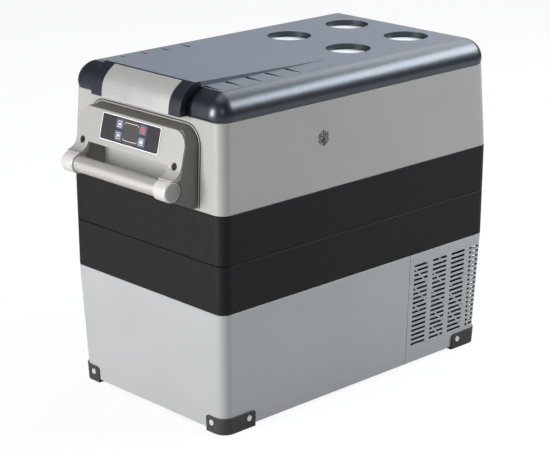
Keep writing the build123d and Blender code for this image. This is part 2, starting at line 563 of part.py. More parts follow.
def build_lid():
    solid = lid_block(0, lid_top, lid_z)
    curve = Spline(*nose)
    rest = Polyline(nose[-1], (-262, 442), (-250, 466), (plateau_end, 466),
                    (plateau_end, lid_top), nose[0])
    raised = prism_y(curve + rest, -plateau_half, plateau_half)
    shell = solid + raised
    hollow = lid_block(lid_wall, lid_top - lid_wall, lid_z - 1)
    hollow -= box(-300, -243, -78, 78, 456, 500)
    cup_spots = [(x, y) for x in cup_xs for y in (-cup_y, cup_y)]
    cup_floor = lid_top - cup_depth
    wells = [rod_z(cup_floor - lid_wall, 510, x, y, cup_r + lid_wall) for x, y in cup_spots]
    hollow -= wells
    shell -= hollow
    for x, y in cup_spots:
        cup = rod_z(cup_floor, 510, x, y, cup_r)
        shell -= fillet(cup.edges().group_by(Axis.Z)[0], 1.5)
    ticks = []
    for i in range(tick_count):
        x = tick_x0 + i * tick_pitch
        for sign in (-1, 1):
            wedge = Polyline((x - tick_w / 2, sign * tick_y0), (x + tick_w / 2, sign * tick_y0),
                             (x + 0.5, sign * tick_y1), (x - 0.5, sign * tick_y1), close=True)
            ticks.append(extrude(Plane.XY.offset(lid_top - tick_depth) * make_face(wedge), 30))
    shell -= ticks
    # a shallow groove sets each side of the raised section off from the lid's corner
    surround = lid_block(-1, lid_top + 1, lid_z - 1) - lid_block(groove_d, lid_top - groove_d, lid_z - 2)
    for y0, y1 in ((-plateau_half - groove_w, -plateau_half), (plateau_half, plateau_half + groove_w)):
        shell -= surround & box(-300, groove_x, y0, y1, 430, 500)
    half = latch_half + latch_gap
    pocket = prism_y([(latch_seam_x, 500), (latch_seam_x, latch_z), (latch_wall_x, latch_z),
                      (latch_wall_x, 430), (-300, 430), (-300, 500)], -half, half)
    pocket += rod_y(-half, half, latch_x, latch_z, latch_swing_r)
    shell -= pocket
    shell -= rod_y(-78, 78, latch_x, latch_z, latch_pin_r)
    keep("lid_shell", shell)

    pin = rod_y(-77.5, 77.5, latch_x, latch_z, latch_pin_r)
    keep("latch_pin", pin)

    lead_x = latch_seam_x - latch_seam
    lead_z = 484.2
    inner = [(lead_x, 480.8)] + [(x + 3.0, z - 1.5) for x, z in nose[1:]]
    outer_front = [(lead_x, lead_z)] + nose[1:]
    face = Spline(*outer_front) + Line(outer_front[-1], inner[-1])
    face = face + Spline(*reversed(inner)) + Line(inner[0], outer_front[0])
    cover = prism_y(face, -latch_half, latch_half)
    ends = box(-290, lead_x, -latch_half, latch_half, 430, 500)
    cheek = Polyline(nose[-1], (-276.5, 442), (-270, 458), (-267, 465), (-261, 469),
                     (lead_x, 472), outer_front[0])
    for y0, y1 in ((-latch_half, -latch_half + 2.5), (latch_half - 2.5, latch_half)):
        cover += prism_y(Spline(*outer_front) + cheek, y0, y1)
    cover &= ends
    for y0, y1 in ((-latch_half, -16), (16, latch_half)):
        cover += rod_y(y0, y1, latch_x, latch_z, latch_barrel_r)
        cover += box(latch_x - 3, latch_x + 3, y0, y1, latch_z + 3, 480.5)
    cover -= rod_y(-80, 80, latch_x, latch_z, latch_pin_r + run_fit)
    barb = prism_y([(-280.2, 447.5), (-275.4, 450.0), (-275.4, 451.5), (-280.0, 453.5)], -25, 25)
    cover += barb
    keep("latch_cover", cover)

    turns, wire, pitch = 6, 0.6, 4.0
    reach = latch_pin_r + 0.2 + wire
    route = []
    for i in range(turns):
        y = (i - turns / 2) * pitch
        route += [(latch_x + dx, y, latch_z + dz)
                  for dx, dz in ((reach, -reach), (reach, reach), (-reach, reach), (-reach, -reach))]
    keep("latch_spring", tube(route, reach - 0.1, wire))

    catch = box(-272.5, -260, -30, 30, 437.6, 439.8)
    catch += box(-272.5, -270, -30, 30, 437.6, 456)
    catch += prism_y([(-272.5, 452.0), (-274.8, 453.5), (-274.8, 456), (-272.5, 456)], -30, 30)
    catch -= outer_block(band_top, rim_z + 1)
    keep("latch_catch", catch)

    inside = lid_block(lid_wall + 0.3, lid_top - lid_wall - 0.3, lid_z - 2)
    cut = lid_wall + 1.0
    plate = round_box(lid_a - cut, lid_b - cut, lid_corner - lid_wall, panel_z, panel_z + panel_t)
    plug = round_box(plug_a, plug_b, tub_r - 4, plug_z, panel_z + 1)
    plug_in = round_box(plug_a - 2.5, plug_b - 2.5, tub_r - 6.5, plug_z + 2.5, panel_z + 9)
    keep("lid_inner_panel", plate + plug - plug_in)
    foam = inside & box(-300, 300, -200, 200, panel_z + panel_t + air, 500)
    foam -= box(-300, -242.5, -78.5, 78.5, 455.5, 500)
    foam -= [Pos(0, 0, -air) * w for w in wells]
    foam += round_box(plug_a - 2.7, plug_b - 2.7, tub_r - 6.7, plug_z + 2.7, panel_z + 8)
    keep("lid_foam", foam)
    gasket = round_box(252, 142, 22, rim_z + 0.3, panel_z)
    gasket -= round_box(242, 132, 14, rim_z - 1, panel_z + 1)
    keep("lid_gasket", gasket)
    return solid


def build_hinges(lid_solid):
    core = outer_block(band_top, rim_z)
    brackets, arms, pins = [], [], []
    for y in hinge_ys:
        y0, y1 = y - 20, y + 20
        bracket = box(260, 267.2, y0, y1, 429, 438.6)
        for a, b in ((y0, y - knuckle_half - 0.3), (y + knuckle_half + 0.3, y1)):
            bracket += rod_y(a, b, hinge_x, hinge_z, hinge_barrel_r)
            bracket += box(266.5, hinge_x, a, b, 433, 439)
            bracket += box(hinge_x - 4, hinge_x + 3, a, b, 436, 440)
        bracket -= core
        bracket -= box(255, 268.4, y0 - 1, y1 + 1, 439.6, 450)
        bracket -= rod_y(y0 - 1, y1 + 1, hinge_x, hinge_z, hinge_pin_r + 0.01)
        brackets.append(bracket)
        arm = box(255, 270.6, y - knuckle_half, y + knuckle_half, 443, 462)
        arm -= lid_solid
        arm = max(arm.solids(), key=lambda s: s.bounding_box().max.X)
        arm = Part() + arm + rod_y(y - knuckle_half, y + knuckle_half, hinge_x, hinge_z,
                                   hinge_barrel_r)
        arm += box(268.2, hinge_x, y - knuckle_half, y + knuckle_half, 441.5, 446)
        arm -= lid_solid
        arm -= rod_y(y0, y1, hinge_x, hinge_z, hinge_pin_r + run_fit)
        arms.append(arm)
        pins.append(rod_y(y0, y1, hinge_x, hinge_z, hinge_pin_r))
    keep("hinge_brackets", Compound([s for b in brackets for s in b.solids()]))
    keep("lid_hinge_arms", Compound([s for a in arms for s in a.solids()]))
    keep("hinge_pins", Compound([s for p in pins for s in p.solids()]))


# ---------------------------------------------------------------- wire basket
def build_basket():
    mid_x = (basket_x0 + basket_x1) / 2
    half_x = (basket_x1 - basket_x0) / 2

    def block(grow, z0, z1):
        return round_box(half_x + grow, basket_b + grow, basket_r + grow, z0, z1, x=mid_x)

    # the wire mesh as one thin tray, hung from its round rim
    tray = block(tray_t / 2, basket_z0, basket_z1)
    tray -= block(-tray_t / 2, basket_z0 + tray_t, basket_z1 + 1)
    eye_r = rim_wire_r + 2.2
    for x in (basket_x0, basket_x1):
        for y in (-bail_y, bail_y):
            tray -= box(x - 3, x + 3, y - 3, y + 3, basket_z1 - eye_r - 0.5, basket_z1 + 1)
    edge = Pos(mid_x, 0, basket_z1) * RectangleRounded(2 * half_x, 2 * basket_b, basket_r)
    path = edge.face().outer_wire()
    rim = sweep(Plane(origin=path @ 0, z_dir=path % 0) * Circle(rim_wire_r), path=path)
    keep("basket", tray + rim)

    for name, x, way in (("bail_control_end", basket_x0, 1), ("bail_hinge_end", basket_x1, -1)):
        eyes = [rod_y(y - 2.5, y + 2.5, x, basket_z1, eye_r)
                - rod_y(y - 3, y + 3, x, basket_z1, rim_wire_r + run_fit)
                for y in (-bail_y, bail_y)]
        tip, start = x + way * bail_reach, x + way * (rim_wire_r + 1.2)
        bow = tube([(start, -bail_y, basket_z1), (tip, -bail_y, basket_z1),
                    (tip, bail_y, basket_z1), (start, bail_y, basket_z1)], 14, bail_r)
        keep(name, bow + eyes)


lower_shell, bay_cover = build_shells()
build_feet(lower_shell, bay_cover)
build_tub()
build_cooling_unit()
build_head()
build_hinges(build_lid())
build_basket()

os.makedirs("parts", exist_ok=True)
for node, shape in pieces.items():
    export_step(shape, f"parts/{node}.step")
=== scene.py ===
"""Looks of the compressor cooler: finishes, trim, marks, studio and camera, in metres."""
import json
import math

import bmesh
import bpy
from mathutils import Matrix, Vector


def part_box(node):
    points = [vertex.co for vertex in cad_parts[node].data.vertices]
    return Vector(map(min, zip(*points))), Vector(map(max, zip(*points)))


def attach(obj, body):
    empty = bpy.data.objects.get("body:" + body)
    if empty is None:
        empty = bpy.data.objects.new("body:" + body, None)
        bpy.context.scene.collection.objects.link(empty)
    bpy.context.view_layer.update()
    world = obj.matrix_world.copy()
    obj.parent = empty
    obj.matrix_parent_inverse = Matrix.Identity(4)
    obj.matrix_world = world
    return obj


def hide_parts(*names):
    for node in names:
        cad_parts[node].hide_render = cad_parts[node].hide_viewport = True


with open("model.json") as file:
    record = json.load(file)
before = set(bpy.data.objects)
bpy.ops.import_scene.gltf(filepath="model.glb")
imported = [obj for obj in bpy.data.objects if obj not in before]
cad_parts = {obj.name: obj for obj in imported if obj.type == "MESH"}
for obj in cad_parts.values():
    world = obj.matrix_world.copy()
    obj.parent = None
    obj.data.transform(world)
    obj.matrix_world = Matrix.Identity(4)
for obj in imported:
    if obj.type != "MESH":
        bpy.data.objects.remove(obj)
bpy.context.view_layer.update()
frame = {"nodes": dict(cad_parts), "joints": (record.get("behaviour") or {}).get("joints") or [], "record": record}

MM = 0.001


# ---------------------------------------------------------------- building materials
def srgb(red, green, blue):
    """A screen colour, 0 to 255 a channel, as the linear colour that shaders take."""
    linear = []
    for channel in (red, green, blue):
        share = channel / 255
        linear.append(share / 12.92 if share < 0.04 else ((share + 0.055) / 1.055) ** 2.4)
    return (*linear, 1.0)


class Finish:
    """One procedural material, patterned in its piece's own coordinates."""

    def __init__(self, name, roughness=0.5, **constants):
        self.material = bpy.data.materials.new(name)
        self.material.use_nodes = True
        tree = self.material.node_tree
        self.nodes = tree.nodes
        self.links = tree.links
        self.shader = self.nodes["Principled BSDF"]
        self.roughness = roughness
        coordinates = self.nodes.new("ShaderNodeTexCoord")
        self.place = coordinates.outputs["Object"]
        self.facing = coordinates.outputs["Normal"]
        for socket, value in constants.items():
            self.shader.inputs[socket.replace("_", " ")].default_value = value

    def put(self, socket, value):
        """Links an output to a socket, or sets the socket's constant."""
        if isinstance(value, bpy.types.NodeSocket):
            self.links.new(value, socket)
        else:
            socket.default_value = value

    def set(self, socket, value):
        """A value on the shader itself."""
        self.put(self.shader.inputs[socket], value)

    def math(self, operation, *values):
        node = self.nodes.new("ShaderNodeMath")
        node.operation = operation
        for socket, value in zip(node.inputs, values):
            self.put(socket, value)
        return node.outputs[0]

    def axis(self, vector, name):
        """One component of a vector."""
        node = self.nodes.new("ShaderNodeSeparateXYZ")
        self.put(node.inputs[0], vector)
        return node.outputs[name]

    def noise(self, scale, detail=3.0, stretch=(1, 1, 1)):
        """Smooth noise, 0 to 1, with scale features a metre, stretched along its axes."""
        mapping = self.nodes.new("ShaderNodeMapping")
        mapping.inputs["Scale"].default_value = [1 / s for s in stretch]
        self.put(mapping.inputs["Vector"], self.place)
        node = self.nodes.new("ShaderNodeTexNoise")
        node.inputs["Scale"].default_value = scale
        node.inputs["Detail"].default_value = detail
        self.put(node.inputs["Vector"], mapping.outputs[0])
        return node.outputs["Fac"]

    def cells(self, scale, feature="F1"):
        """Distance to scattered points, as in leather grain."""
        node = self.nodes.new("ShaderNodeTexVoronoi")
        node.feature = feature
        node.inputs["Scale"].default_value = scale
        self.put(node.inputs["Vector"], self.place)
        return node.outputs["Distance"]

    def spread(self, value, low, high, start=0.0, end=1.0):
        """Maps start to end onto low to high, and clamps."""
        node = self.nodes.new("ShaderNodeMapRange")
        for socket, number in zip(node.inputs, (value, start, end, low, high)):
            self.put(socket, number)
        return node.outputs[0]

    def blend(self, share, first, second):
        """Colour between first and second."""
        node = self.nodes.new("ShaderNodeMix")
        node.data_type = "RGBA"
        for index, value in ((0, share), (6, first), (7, second)):
            self.put(node.inputs[index], value)
        return node.outputs[2]

    def soft_edges(self, radius):
        """The surface's normal with its edges rounded by that radius."""
        node = self.nodes.new("ShaderNodeBevel")
        node.samples = 4
        node.inputs["Radius"].default_value = radius
        return node.outputs[0]

    def edge_mask(self, soft):
        """1 along the edges that soft_edges rounds, 0 on flat surfaces."""
        geometry = self.nodes.new("ShaderNodeNewGeometry")
        node = self.nodes.new("ShaderNodeVectorMath")
        node.operation = "DOT_PRODUCT"
        self.put(node.inputs[0], soft)
        self.put(node.inputs[1], geometry.outputs["Normal"])
        return self.spread(node.outputs["Value"], 1.0, 0.0, 0.80, 0.98)

    def relief(self, height, depth, under=None):
        """A normal shaped by height, 0 to 1, over that depth."""
        node = self.nodes.new("ShaderNodeBump")
        node.inputs["Distance"].default_value = depth
        self.put(node.inputs["Height"], height)
        if under is not None:
            self.put(node.inputs["Normal"], under)
        return node.outputs[0]

    def surface(self, colour, light, dark, grain, depth, edge):
        """Colour clouding, uneven roughness, fine grain, and rounded edges painted lighter: part wear, part
        painted highlight.
        """
        cloud = self.noise(7.0)
        clouding = self.spread(cloud, 0, 1, 0.3, 0.7)
        tone = self.blend(clouding, tinted(colour, dark), tinted(colour, light))
        soft = self.soft_edges(edge)
        # rounded edges painted lighter: part wear, part painted highlight where the edges catch the light
        worn_and_highlit_edge = self.math("MULTIPLY", self.edge_mask(soft), 0.6)
        self.set("Base Color", self.blend(worn_and_highlit_edge, tone, tinted(colour, 1.5)))
        fine = self.noise(grain, 4.0)
        patches = self.math("ADD", self.math("MULTIPLY", fine, 0.6), self.math("MULTIPLY", cloud, 0.4))
        smooth, rough = self.roughness - 0.07, self.roughness + 0.07
        self.set("Roughness", self.spread(patches, smooth, rough, 0.3, 0.7))
        self.set("Normal", self.relief(fine, depth, soft))
        return self


def tinted(colour, factor):
    """The colour, lighter or darker by a factor."""
    return (*(min(1.0, channel * factor) for channel in colour[:3]), 1.0)


def moulded(name, colour, roughness=0.45, grain=900.0, depth=0.05 * MM, edge=0.6 * MM, **constants):
    """Moulded plastic with a fine spark-eroded grain."""
    return Finish(name, roughness, **constants).surface(colour, 1.03, 0.97, grain, depth, edge).material


def metal(name, colour, roughness=0.3, along=None, edge=0.3 * MM, scratch=0.012 * MM, shine=1.0):
    """Metal, brushed along one axis if that is given."""
    finish = Finish(name, roughness, Metallic=shine)
    stretch = [600.0 if axis == along else 1.0 for axis in "XYZ"]
    lines = finish.noise(2500.0, 3.0, stretch)
    cloud = finish.noise(14.0)
    finish.set("Base Color", finish.blend(cloud, tinted(colour, 0.93), tinted(colour, 1.05)))
    finish.set("Roughness", finish.spread(lines, roughness - 0.08, roughness + 0.1, 0.3, 0.7))
    finish.set("Normal", finish.relief(lines, scratch, finish.soft_edges(edge)))
    return finish.material


# ---------------------------------------------------------------- finishes of this object
def outer_size(node, axis):
    """A shell's half size along an axis at its foot and at its head, and those heights."""
    points = [v.co for v in frame["nodes"][node].data.vertices]
    low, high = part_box(node)
    foot = max(p[axis] for p in points if p.z < low.z + 3 * MM)
    head = max(p[axis] for p in points if p.z > high.z - 3 * MM)
    return foot, head, low.z, high.z


def shell_finish(name, colour, node, corner):
    """Moulded shell whose inner faces, behind its slots and seams, are painted near black as painted shade."""
    lit_depth = 0.7 * MM
    finish = Finish(name, 0.5).surface(colour, 1.03, 0.97, 900.0, 0.05 * MM, 1.0 * MM)
    moulded_colour = finish.shader.inputs["Base Color"].links[0].from_socket
    squares = []
    for axis, letter in enumerate("XY"):
        foot, head, low, high = outer_size(node, axis)
        rise = finish.math("SUBTRACT", finish.axis(finish.place, "Z"), low)
        skin = finish.math("MULTIPLY_ADD", rise, (head - foot) / (high - low), foot - corner)
        reach = finish.math("ABSOLUTE", finish.axis(finish.place, letter))
        past = finish.math("MAXIMUM", finish.math("SUBTRACT", reach, skin), 0.0)
        squares.append(finish.math("MULTIPLY", past, past))
    # inner faces painted near black: painted shade behind the slots and seams
    inside = finish.math("LESS_THAN", finish.math("ADD", *squares), (corner - lit_depth) ** 2)
    finish.set("Base Color", finish.blend(inside, moulded_colour, srgb(16, 16, 18)))
    return finish.material


TICK_BELOW, CUP_BELOW, SECTION_BELOW = 8.2 * MM, 13.0 * MM, 7.4 * MM    # under the lid's top
SECTION_HALF = 92.6 * MM                                               # raised middle of the lid
CHANNEL_FROM, CHANNEL_TO, CHANNEL_X = 92.8 * MM, 99.3 * MM, -244 * MM   # beside the latch cover


def lid_finish():
    """Navy lid: glossy rounded edges and grained top; the top painted lighter as a painted sheen, ticks and the
    channel by the latch painted dark as painted shade, cup floors painted pale as a painted reflection, edges and
    the raised middle's sides painted lighter as painted highlights.
    """
    finish = Finish("lid_navy", Specular_Tint=srgb(230, 240, 250))
    up = finish.spread(finish.axis(finish.facing, "Z"), 0, 1, 0.975, 0.995)
    steep = finish.math("SUBTRACT", 1.0, up)
    high = finish.axis(finish.place, "Z")
    across = finish.math("ABSOLUTE", finish.axis(finish.place, "Y"))
    along = finish.axis(finish.place, "X")
    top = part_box("lid_shell")[1].z
    painted_tick_shade = finish.math("MULTIPLY", up, finish.math("LESS_THAN", high, top - TICK_BELOW))
    floor = finish.math("MULTIPLY", up, finish.math("LESS_THAN", high, top - CUP_BELOW))
    raised = finish.math("GREATER_THAN", high, top - SECTION_BELOW)
    wide = finish.math("GREATER_THAN", across, SECTION_HALF)
    strip = finish.math("MULTIPLY", finish.math("MULTIPLY", raised, wide), steep)
    past = finish.math("GREATER_THAN", across, CHANNEL_FROM)
    before = finish.math("LESS_THAN", across, CHANNEL_TO)
    latch_end = finish.math("LESS_THAN", along, CHANNEL_X)
    channel = finish.math("MULTIPLY", finish.math("MULTIPLY", past, before), latch_end)
    cloud = finish.noise(9.0)
    dark = finish.blend(cloud, srgb(9, 14, 23), srgb(13, 19, 29))
    # upward faces painted a lighter blue-grey: a painted sheen for the bright studio that the grained top reflects
    light = finish.blend(cloud, srgb(122, 127, 137), srgb(130, 135, 145))
    soft = finish.soft_edges(0.9 * MM)
    rim = finish.math("MULTIPLY", finish.edge_mask(soft), 0.4)
    base = finish.blend(up, dark, light)
    # side faces of the raised middle painted mid grey: a painted highlight along its edge
    base = finish.blend(strip, base, srgb(92, 96, 103))
    # tick floors painted dark: painted shade in the recesses
    base = finish.blend(painted_tick_shade, base, srgb(14, 18, 26))
    # channel beside the latch cover painted near black: painted shade in the gap
    base = finish.blend(channel, base, srgb(5, 7, 11))
    # cup floors painted near white: a painted reflection of the bright studio
    base = finish.blend(floor, base, srgb(236, 240, 244))
    # rounded edges painted lighter blue-grey: a painted highlight
    finish.set("Base Color", finish.blend(rim, base, srgb(118, 127, 138)))
    leather = finish.math("MULTIPLY", finish.cells(900.0, "SMOOTH_F1"), up)
    finish.set("Roughness", finish.spread(up, 0.34, 0.55))
    finish.set("Specular IOR Level", finish.spread(up, 1.0, 0.4))
    finish.set("Normal", finish.relief(leather, 0.12 * MM, soft))
    return finish.material


def band_finish():
    """Charcoal bands with a pebbled grain and dark seams."""
    finish = Finish("band_charcoal", 0.6, Specular_IOR_Level=0.2)
    pebbles = finish.cells(700.0, "SMOOTH_F1")
    cloud = finish.noise(11.0)
    grain = finish.spread(finish.noise(420.0, 2.0), 0, 1, 0.35, 0.65)
    tone = finish.blend(grain, srgb(13, 13, 14), srgb(28, 28, 29))
    tone = finish.blend(finish.spread(cloud, 0, 0.4), tone, srgb(21, 21, 22))
    soft = finish.soft_edges(0.8 * MM)
    seam = finish.math("MULTIPLY", finish.edge_mask(soft), 0.4)
    finish.set("Base Color", finish.blend(seam, tone, srgb(10, 10, 11)))
    finish.set("Roughness", finish.spread(pebbles, 0.48, 0.62, 0.0, 0.8))
    finish.set("Normal", finish.relief(pebbles, 0.16 * MM, soft))
    return finish.material


def display_finish():
    """Smoked display window, with a blue-grey strip under each pair of buttons."""
    finish = Finish("display_smoke", Coat_Weight=0.4, Coat_Roughness=0.08)
    low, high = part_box("button_up")
    middle = (low.y + high.y) / 2
    half = (high.y - low.y) / 2 + 1.2 * MM
    across = finish.math("ABSOLUTE", finish.axis(finish.place, "Y"))
    off_middle = finish.math("ABSOLUTE", finish.math("SUBTRACT", across, middle))
    strip = finish.math("LESS_THAN", off_middle, half)
    window = finish.math("LESS_THAN", across, middle - half)
    cloud = finish.noise(60.0)
    smoke = finish.blend(cloud, srgb(52, 50, 55), srgb(58, 56, 61))
    screen = finish.blend(cloud, srgb(70, 69, 68), srgb(76, 75, 74))
    blue = finish.blend(cloud, srgb(57, 64, 79), srgb(63, 70, 85))
    finish.set("Base Color", finish.blend(strip, finish.blend(window, smoke, screen), blue))
    finish.set("Roughness", finish.spread(cloud, 0.16, 0.28))
    finish.set("Normal", finish.soft_edges(0.3 * MM))
    return finish.material


def foam_finish():
    """Pale yellow sprayed foam with open cells."""
    finish = Finish("rigid_foam", 0.9)
    cells = finish.cells(260.0)
    finish.set("Base Color", finish.blend(cells, srgb(226, 205, 150), srgb(206, 182, 122)))
    finish.set("Roughness", finish.spread(cells, 0.8, 0.98))
    finish.set("Normal", finish.relief(cells, 0.9 * MM))
    return finish.material


def board_finish():
    """Green circuit board with a fine square weave."""
    finish = Finish("board_green", 0.4)
    weave = finish.noise(1800.0, 2.0, (1, 4, 1))
    finish.set("Base Color", finish.blend(weave, srgb(18, 78, 42), srgb(30, 100, 56)))
    finish.set("Roughness", finish.spread(weave, 0.3, 0.5))
    finish.set("Normal", finish.relief(weave, 0.04 * MM))
    return finish.material


def lens_finish():
    """Frosted light cover."""
    finish = Finish("light_frost", 0.4, Transmission_Weight=0.3)
    ribs = finish.noise(500.0, 2.0)
    finish.set("Base Color", finish.blend(ribs, srgb(236, 238, 234), srgb(246, 248, 246)))
    finish.set("Roughness", finish.spread(ribs, 0.3, 0.5))
    finish.set("Normal", finish.relief(ribs, 0.05 * MM, finish.soft_edges(0.4 * MM)))
    return finish.material


upper_grey = moulded("upper_body_grey", srgb(158, 159, 155), 0.5, edge=1.0 * MM)
lower_grey = shell_finish("lower_body_grey", srgb(162, 165, 166), "compressor_cover", 16 * MM)
bracket_grey = moulded("bracket_grey", srgb(118, 117, 113), 0.5, grain=1200.0)
silver_plastic = moulded("silver_plastic", srgb(168, 168, 166), 0.36, Metallic=0.25)
latch_silver = moulded("latch_silver", srgb(206, 207, 206), 0.30, 1500.0, 0.02 * MM, Metallic=0.6)
champagne = metal("champagne_tube", srgb(212, 209, 204), 0.34, along="Y", scratch=0.0003 * MM, shine=0.7)
socket_silver = moulded("socket_silver", srgb(204, 203, 201), 0.34, Metallic=0.25, edge=0.8 * MM)
cap_grey = moulded("cap_grey", srgb(158, 157, 153), 0.4)
button_blue = moulded("button_blue_grey", srgb(80, 88, 104), 0.35)
foot_rubber = moulded("foot_rubber", srgb(50, 50, 51), 0.62, grain=1400.0, depth=0.1 * MM, edge=1.2 * MM)
screw_steel = metal("screw_steel", srgb(228, 228, 230), 0.3, shine=0.5)
dark_screw = moulded("dark_screw", srgb(38, 37, 36), 0.4, Metallic=0.4)
liner_white = moulded("liner_white", srgb(226, 229, 231), 0.32, depth=0.03 * MM, edge=1.2 * MM)
gasket_rubber = moulded("gasket_rubber", srgb(48, 49, 50), 0.6)
compressor_black = moulded("compressor_black", srgb(30, 30, 31), 0.3, depth=0.08 * MM, edge=1.0 * MM)
steel_plate = metal("steel_plate", srgb(176, 178, 180), 0.36, along="X")
aluminium = metal("sheet_aluminium", srgb(212, 214, 217), 0.34, along="Z")
copper = metal("copper_tube", srgb(200, 128, 92), 0.3)
inner_black = moulded("inner_black", srgb(34, 34, 36), 0.5)
wire_steel = metal("basket_wire", srgb(222, 223, 225), 0.24)
white_print = moulded("white_print", srgb(238, 240, 244), 0.5, depth=0.01 * MM, edge=0.05 * MM)
red_print = moulded("red_print", srgb(226, 92, 98), 0.5, depth=0.01 * MM, edge=0.05 * MM)
emblem_grey = moulded("emblem_grey", srgb(62, 64, 68), 0.4, depth=0.02 * MM, edge=0.1 * MM)

SLOT_FINISH = {
    "lid_plastic": lid_finish(),
    "body_grey": lower_grey,
    "band_charcoal": band_finish(),
    "bracket_grey": bracket_grey,
    "satin_silver": latch_silver,
    "silver_plastic": silver_plastic,
    "champagne_tube": champagne,
    "display_black": display_finish(),
    "button_blue_grey": button_blue,
    "foot_rubber": foot_rubber,
    "screw_steel": screw_steel,
    "liner_white": liner_white,
    "rigid_foam": foam_finish(),
    "gasket_rubber": gasket_rubber,
    "compressor_black": compressor_black,
    "steel_plate": steel_plate,
    "sheet_aluminium": aluminium,
    "copper_tube": copper,
    "fan_black": inner_black,
    "inner_plastic": inner_black,
    "board_green": board_finish(),
    "basket_wire": wire_steel,
    "light_lens": lens_finish(),
}
NODE_FINISH = {
    "upper_body_shell": upper_grey,
    "latch_cover": latch_silver,
    "bracket_screws": dark_screw,
    "handle_sockets": socket_silver,
    "handle_end_caps": cap_grey,
}


def paint(obj, material):
    """Gives every face of a piece one material."""
    obj.data.materials.clear()
    obj.data.materials.append(material)


for part in frame["record"]["subparts"]:
    node = part["node"]
    paint(frame["nodes"][node], NODE_FINISH.get(node, SLOT_FINISH[part["material_slot"]]))


# ---------------------------------------------------------------- added pieces
def add_piece(obj, body, material):
    """Puts a new piece in the scene, on its body and with its finish."""
    bpy.context.scene.collection.objects.link(obj)
    paint(obj, material)
    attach(obj, body)
    return obj


def mesh_of(curve, name):
    """The curve's surface as a mesh."""
    drawn = bpy.data.objects.new(name + "_curve", curve)
    mesh = bpy.data.meshes.new_from_object(drawn)
    bpy.data.objects.remove(drawn)
    return mesh


def flat_mark(name, loops, place, thickness):
    """Thin mark from closed outlines, where an inner outline is a hole."""
    curve = bpy.data.curves.new(name, "CURVE")
    curve.dimensions = "2D"
    curve.fill_mode = "BOTH"
    curve.extrude = thickness / 2
    for loop in loops:
        spline = curve.splines.new("POLY")
        spline.points.add(len(loop) - 1)
        for point, (u, v) in zip(spline.points, loop):
            point.co = (u * MM, v * MM, 0, 1)
        spline.use_cyclic_u = True
    mesh = mesh_of(curve, name)
    mesh.transform(place)
    return bpy.data.objects.new(name, mesh)


def wire_mesh(name, runs, radius, roundness=3):
    """Round wires along rounded paths, as one mesh. A run is (points, closed)."""
    curve = bpy.data.curves.new(name, "CURVE")
    curve.dimensions = "3D"
    curve.bevel_depth = radius
    curve.bevel_resolution = roundness
    curve.use_fill_caps = True
    for points, closed in runs:
        spline = curve.splines.new("POLY")
        spline.points.add(len(points) - 1)
        for target, point in zip(spline.points, points):
            target.co = (*point, 1)
        spline.use_cyclic_u = closed
    mesh = mesh_of(curve, name)
    for polygon in mesh.polygons:
        polygon.use_smooth = True
    return bpy.data.objects.new(name, mesh)


def ring(radius, count=28, start=0.0, sweep=360.0, centre=(0.0, 0.0)):
    """Points on an arc, in degrees from +u."""
    closed = sweep >= 360
    steps = count if closed else count - 1
    angles = [math.radians(start + sweep * i / steps) for i in range(count)]
    return [(centre[0] + radius * math.cos(a), centre[1] + radius * math.sin(a)) for a in angles]


def rounded(half_u, half_v, radius, centre=(0.0, 0.0)):
    """Outline of a rounded rectangle."""
    points = []
    for corner, (su, sv) in enumerate(((1, 1), (-1, 1), (-1, -1), (1, -1))):
        middle = (centre[0] + su * (half_u - radius), centre[1] + sv * (half_v - radius))
        points += ring(radius, 6, 90 * corner, 90, middle)
    return points


def bar(half_width, length, angle, centre=(0.0, 0.0)):
    """Outline of a bar that starts at centre and points along angle, in degrees."""
    turn = Matrix.Rotation(math.radians(angle), 2)
    corners = ((0, -half_width), (length, -half_width), (length, half_width), (0, half_width))
    return [tuple(turn @ Vector(corner) + Vector(centre)) for corner in corners]


def on_plane(right, up, point):
    """Matrix that lays a flat mark on a plane at a point."""
    right, up = Vector(right).normalized(), Vector(up).normalized()
    columns = Matrix((right, up, right.cross(up))).transposed().to_4x4()
    return Matrix.Translation(point) @ columns


# control panel: the buttons press along the panel's normal
press = next(j for j in frame["joints"] if j["name"] == "power_button_press")
panel_out = -Vector(press["axis"])
panel_right = Vector((0, -1, 0))
panel_up = panel_out.cross(panel_right)


def front_of(node):
    """Centre of a button's front face."""
    corners = [v.co for v in frame["nodes"][node].data.vertices]
    centre = sum(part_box(node), Vector()) / 2
    reach = max((corner - centre).dot(panel_out) for corner in corners)
    return centre + panel_out * reach


def gear(outer, root, teeth=6):
    """Toothed outline: each tooth spans 24 degrees of its 60."""
    points = []
    for i in range(teeth):
        middle = 360 / teeth * i
        points += ring(root, 3, middle - 30, 16) + ring(outer, 3, middle - 12, 24)
        points += ring(root, 3, middle + 14, 16)
    return points


ICON_HALF_U, ICON_HALF_V, ICON_FRAME = 4.0, 4.3, 0.6
ICONS = {
    "power": [ring(2.4, 20, 125, 290) + ring(1.6, 20, 55, -290), bar(0.45, 2.3, 90, (0, 0.6))],
    "set": [gear(2.7, 2.0), ring(0.9, 16)],
    "up": [[(-2.6, -1.6), (2.6, -1.6), (0, 2.2)]],
    "down": [[(-2.6, 1.6), (0, -2.2), (2.6, 1.6)]],
}
icon_frame = [rounded(ICON_HALF_U, ICON_HALF_V, 1.0),
              rounded(ICON_HALF_U - ICON_FRAME, ICON_HALF_V - ICON_FRAME, 0.6)]
for key, symbol in ICONS.items():
    mark = flat_mark(f"icon_{key}", icon_frame + symbol,
                     on_plane(panel_right, panel_up, front_of(f"button_{key}")), 0.12 * MM)
    print_colour = red_print if key == "power" else white_print
    add_piece(mark, f"{key}_button", print_colour)

